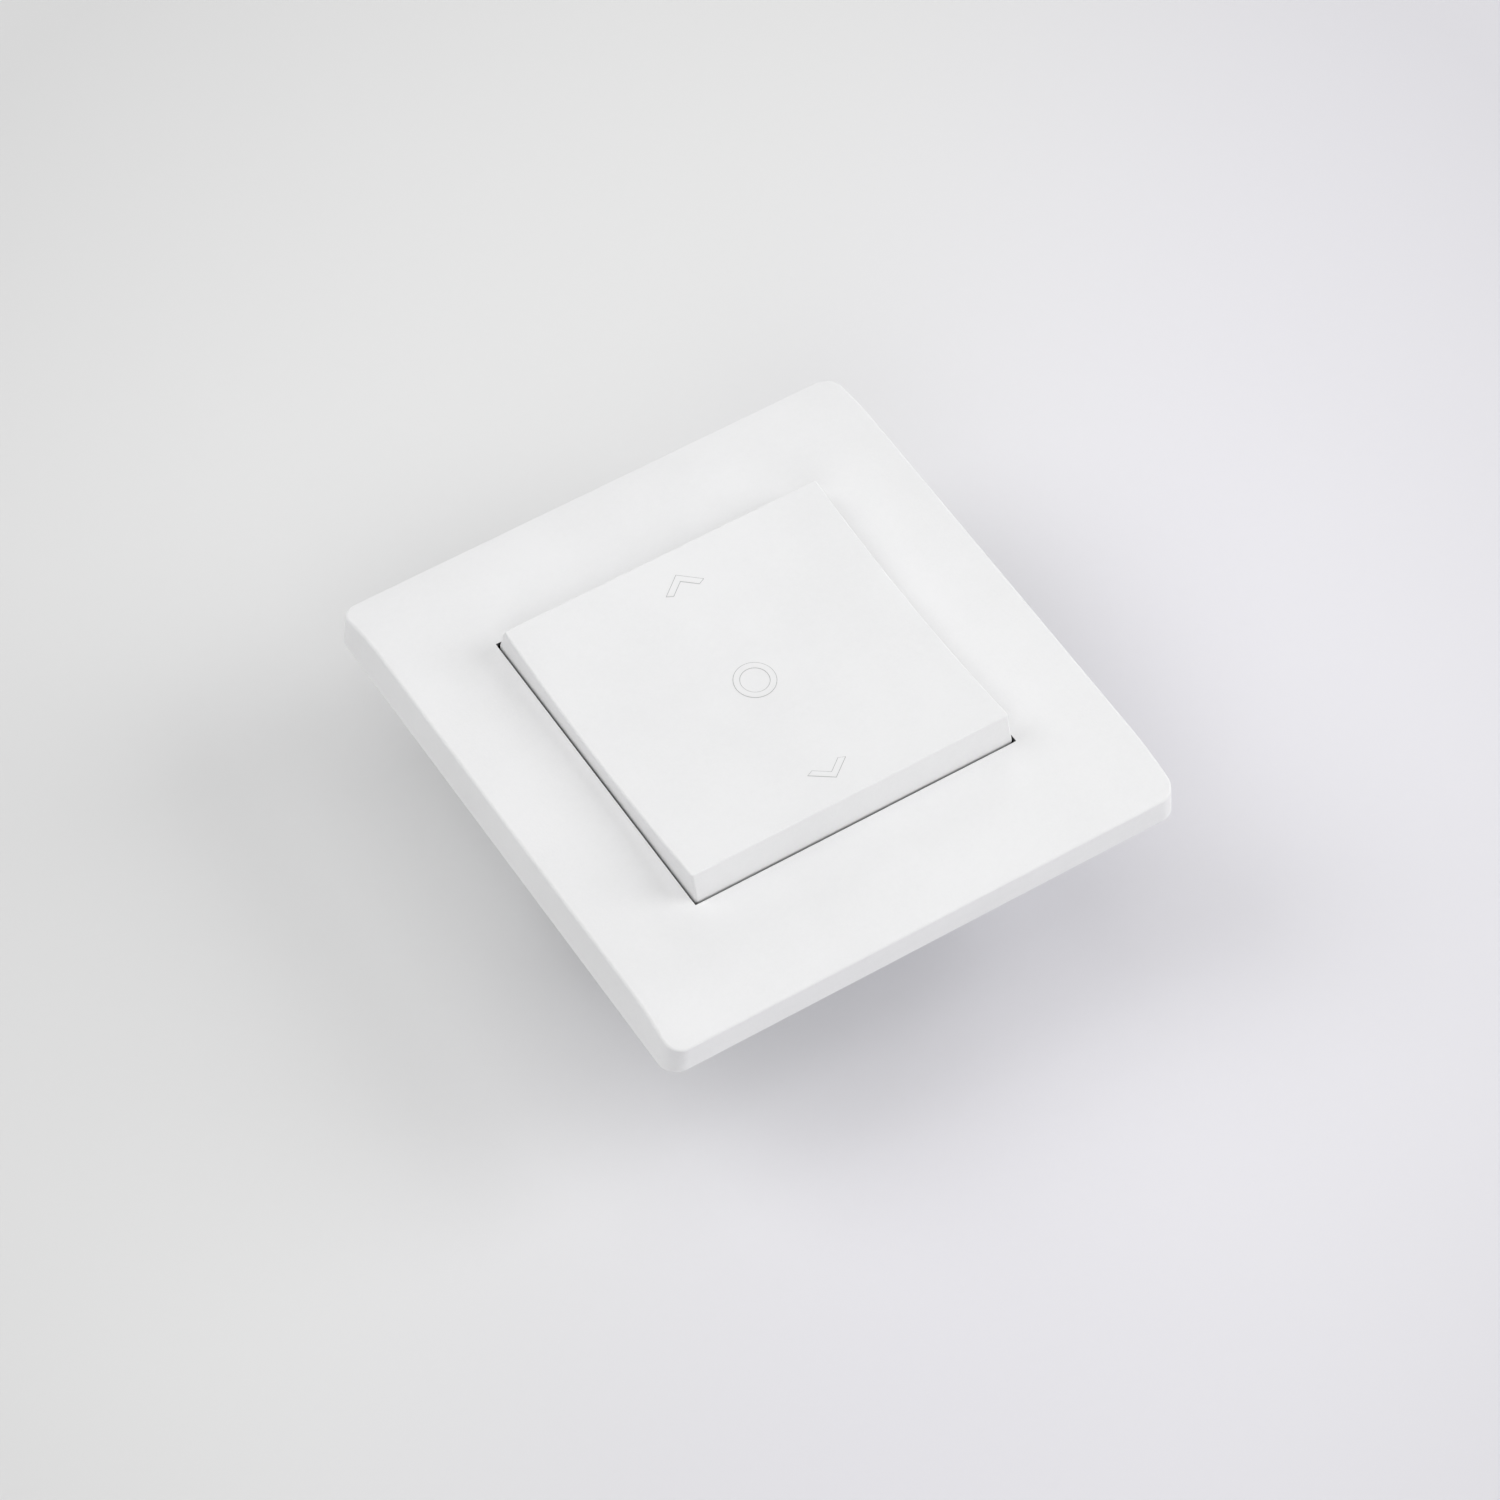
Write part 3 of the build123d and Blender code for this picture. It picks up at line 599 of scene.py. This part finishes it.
def screw_tree():
    """A threaded screw at each point: chamfered head with a slot or a cross cut into it.

    Sizes are in millimetres.
    """
    graph, given = shape_tree("threaded_screw", {"Places": "NodeSocketGeometry"}, PLATE_SCREW)
    node = graph.node
    height, chamfer = given["Head Height"], given["Head Chamfer"]
    shank, pitch = given["Shank Length"], given["Pitch"]

    def raised(shape, rise):
        sockets = {"Geometry": shape, "Translation": graph.vector(z=rise)}
        return node("GeometryNodeTransform", sockets=sockets)

    def cutter(length, width):
        size = graph.vector(length, width, 2 * given["Slot Depth"])
        return raised(node("GeometryNodeMeshCube", sockets={"Size": size}), height)

    # The blank's middle ring moves up to the chamfer's foot, and its top ring moves in.
    blank = node("GeometryNodeMeshCylinder", sockets={
        "Vertices": HEAD_SIDES, "Side Segments": 2,
        "Radius": given["Head Radius"], "Depth": height})
    x, y, z = graph.axes(node("GeometryNodeInputPosition"))
    half = 0.5 * height
    rim = z > 0.5 * half
    waist = z.math("COMPARE", 0.0, 0.01)
    shrink = 1 - rim * (chamfer / given["Head Radius"])
    turned = graph.vector(x * shrink, y * shrink, z + half + waist * (half - chamfer))
    head = node("GeometryNodeSetPosition", sockets={"Geometry": blank, "Position": turned})
    head = node("GeometryNodeMeshBoolean", {"operation": "DIFFERENCE", "solver": "EXACT"}, {
        "Mesh 1": head,
        "Mesh 2": [cutter(given["Slot Length"], given["Slot Width"]),
                   cutter(given["Slot Width"], given["Cross Length"])]})

    core_radius = CORE_SHARE * given["Thread Radius"]
    core = node("GeometryNodeMeshCylinder", sockets={
        "Vertices": CORE_SIDES, "Radius": core_radius, "Depth": shank})
    run = shank - 1.5 * pitch
    spiral = node("GeometryNodeCurveSpiral", sockets={
        "Resolution": THREAD_STEPS, "Rotations": run / pitch,
        "Start Radius": core_radius, "End Radius": core_radius, "Height": run})
    ridge = node("GeometryNodeCurvePrimitiveCircle", sockets={
        "Resolution": THREAD_SIDES, "Radius": given["Thread Radius"] - core_radius})
    thread = node("GeometryNodeCurveToMesh", sockets={
        "Curve": raised(spiral, 0.5 * pitch - shank), "Profile Curve": ridge, "Fill Caps": True})
    screw = node("GeometryNodeJoinGeometry", sockets={
        "Geometry": [head, raised(core, -0.5 * shank), thread]})
    screws = node("GeometryNodeInstanceOnPoints", sockets={
        "Points": given["Places"], "Instance": screw,
        "Rotation": graph.vector(x=math.pi * given["Turned Over"]), "Scale": (MM, MM, MM)})
    return close_tree(graph, screws, given["Finish"])


def add_screws():
    """Screws of both kinds, in place of the plain cylinders."""
    tree = screw_tree()
    finish = {"Finish": FINISHES["screw_steel"]}
    plate = grow("cross_head_screws", tree, {**PLATE_SCREW, **finish}, PLATE_SCREW_PLACES)
    terminal = grow("slotted_screws", tree, {**TERMINAL_SCREW, **finish}, TERMINAL_SCREW_PLACES)
    for piece, node in ((plate, "plate_screws"), (terminal, "terminal_screws")):
        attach(piece, "insert")
        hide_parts(node)


add_screws()


def spring_tree():
    """A compression spring at each point: round wire, with a closed coil at each end.

    Sizes are in millimetres.
    """
    graph, given = shape_tree("compression_spring", {"Places": "NodeSocketGeometry"}, SPRING)
    node = graph.node
    turns, rise, wire = given["Turns"], given["Rise"], given["Wire Radius"]
    spiral = node("GeometryNodeCurveSpiral", sockets={
        "Resolution": COIL_STEPS, "Rotations": turns, "Height": rise,
        "Start Radius": given["Coil Radius"], "End Radius": given["Coil Radius"]})

    # The first and the last turn rise by the wire's thickness, and the others share the rest.
    turn = turns * node("GeometryNodeSplineParameter", output="Factor")
    closed = turn.math("MINIMUM", 1.0) + (turn - (turns - 1)).math("MAXIMUM", 0.0)
    pitch = (rise - 4 * wire) / (turns - 2)
    x, y, _ = graph.axes(node("GeometryNodeInputPosition"))
    wound = graph.vector(x, y, 2 * wire * closed + pitch * (turn - closed))
    coil = node("GeometryNodeSetPosition", sockets={"Geometry": spiral, "Position": wound})
    section = node("GeometryNodeCurvePrimitiveCircle", sockets={
        "Resolution": WIRE_SIDES, "Radius": wire})
    spring = node("GeometryNodeCurveToMesh", sockets={
        "Curve": coil, "Profile Curve": section, "Fill Caps": True})
    springs = node("GeometryNodeInstanceOnPoints", sockets={
        "Points": given["Places"], "Instance": spring, "Scale": (MM, MM, MM)})
    return close_tree(graph, springs, given["Finish"])


def add_springs():
    """A spring under each plunger."""
    tree = spring_tree()
    for side, y in SPRING_PLACES.items():
        inputs = {**SPRING, "Finish": FINISHES["spring_steel"]}
        spring = grow(f"coil_spring_{side}", tree, inputs, [(0.0, y, SPRING_FOOT)])
        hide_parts(f"return_spring_{side}")
        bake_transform(spring)


add_springs()


def ground_axes(right, far, up):
    """A place that lies so far to the right, behind and above the switch, as the camera sees it."""
    sine, cosine = math.sin(CAMERA_BEARING), math.cos(CAMERA_BEARING)
    return Vector((right * cosine + far * sine, far * cosine - right * sine, up))


def seen_rays(graph):
    """1 for rays that show a thing itself, to the camera or in metal and glass.

    It is 0 for those that carry light.
    """
    camera = graph.node("ShaderNodeLightPath", output="Is Camera Ray")
    seen = camera.math("MAXIMUM", camera.other("Is Glossy Ray"))
    return seen.math("MAXIMUM", camera.other("Is Transmission Ray"))


def paper_floor():
    """Pale paper in painted light and a painted cool cast, which fades into the tent's walls far
    from the switch.
    """
    finish = Finish("paper_floor")

    def measure(operation, sockets):
        settings = {"operation": operation}
        return finish.node("ShaderNodeVectorMath", settings, sockets, output="Value")

    right = measure("DOT_PRODUCT", {0: finish.place, 1: ground_axes(1.0, 0.0, 0.0)})
    far = measure("DOT_PRODUCT", {0: finish.place, 1: ground_axes(0.0, 1.0, 0.0)}) - FLOOR_BEHIND
    # The paper's greys are painted light: a pool of it behind the switch, darker outwards and on
    # the left.
    side = finish.between(right, *FLOOR_SIDES)
    outward = FLOOR_FALL_SIDEWAYS * right * right + FLOOR_FALL_ALONG * far * far
    middle, edge = finish.tint(side, *FLOOR_MIDDLE), finish.tint(side, *FLOOR_EDGE)
    # A painted cool cast of light to the right and, less so, in front.
    cool = finish.between(right - FLOOR_COOL_FRONT * far, *FLOOR_COOL_SPAN)
    paper_and_painted_light = finish.tint(cool, finish.tint(outward, middle, edge), FLOOR_COOL, blend="MULTIPLY")
    fibre = finish.noise(1.5 * MM, detail=3.0)
    finish.shade(
        base_color=finish.tint(0.06 * fibre, paper_and_painted_light, FLOOR_FIBRE),
        roughness=0.75 + 0.1 * fibre,
    )
    reach = measure("LENGTH", {0: finish.place})
    faded = finish.node("ShaderNodeMixShader", sockets={
        0: finish.between(reach, *FLOOR_FADE) * seen_rays(finish),
        1: Value(finish, finish.shader.outputs["BSDF"]),
        2: finish.node("ShaderNodeEmission", sockets={"Strength": TENT_SHADE}),
    })
    finish.tree.links.new(faded.socket, finish.tree.nodes["Material Output"].inputs["Surface"])
    return finish.material


def add_camera():
    """The camera where the photograph was taken from."""
    data = bpy.data.cameras.new("camera")
    data.lens = CAMERA_LENS
    data.sensor_width = CAMERA_SENSOR
    data.clip_start, data.clip_end = CAMERA_CLIP
    camera = bpy.data.objects.new("camera", data)
    bpy.context.scene.collection.objects.link(camera)
    view = ground_axes(0.0, math.cos(CAMERA_DIP), -math.sin(CAMERA_DIP))
    turn = view.to_track_quat("-Z", "Y").to_matrix() @ Matrix.Rotation(CAMERA_ROLL, 3, "Z")
    camera.matrix_world = Matrix.Translation(CAMERA_PLACE) @ turn.to_4x4()
    bpy.context.scene.camera = camera


def add_floor():
    """One wide sheet of paper under the insert's back."""
    mesh = bpy.data.meshes.new("floor")
    reach = FLOOR_REACH
    corners = [(-reach, -reach), (reach, -reach), (reach, reach), (-reach, reach)]
    mesh.from_pydata([(x, y, FLOOR_LEVEL) for x, y in corners], [], [(0, 1, 2, 3)])
    mesh.materials.append(paper_floor())
    floor = bpy.data.objects.new("floor", mesh)
    bpy.context.scene.collection.objects.link(floor)


def add_lamps():
    """Soft boxes that face the switch."""
    for name, (place, side, share) in SOFT_BOXES.items():
        data = bpy.data.lights.new(name, "AREA")
        data.shape = "SQUARE"
        data.size = side
        place = ground_axes(*place)
        data.energy = share * (math.pi * place.length) ** 2
        lamp = bpy.data.objects.new(name, data)
        bpy.context.scene.collection.objects.link(lamp)
        lamp.location = place
        lamp.rotation_euler = (-place).to_track_quat("-Z", "Y").to_euler()


def add_tent():
    """White walls all round, which look paler than the light that they give."""
    world = bpy.data.worlds.new("light_tent")
    world.use_nodes = True
    walls = world.node_tree.nodes["Background"]
    walls.inputs["Color"].default_value = (1.0, 1.0, 1.0, 1.0)
    strength = TENT_LIGHT + (TENT_SHADE - TENT_LIGHT) * seen_rays(Graph(world.node_tree))
    world.node_tree.links.new(strength.socket, walls.inputs["Strength"])
    bpy.context.scene.world = world


add_camera()
add_floor()
add_lamps()
add_tent()
bpy.context.scene.view_settings.view_transform = "Standard"
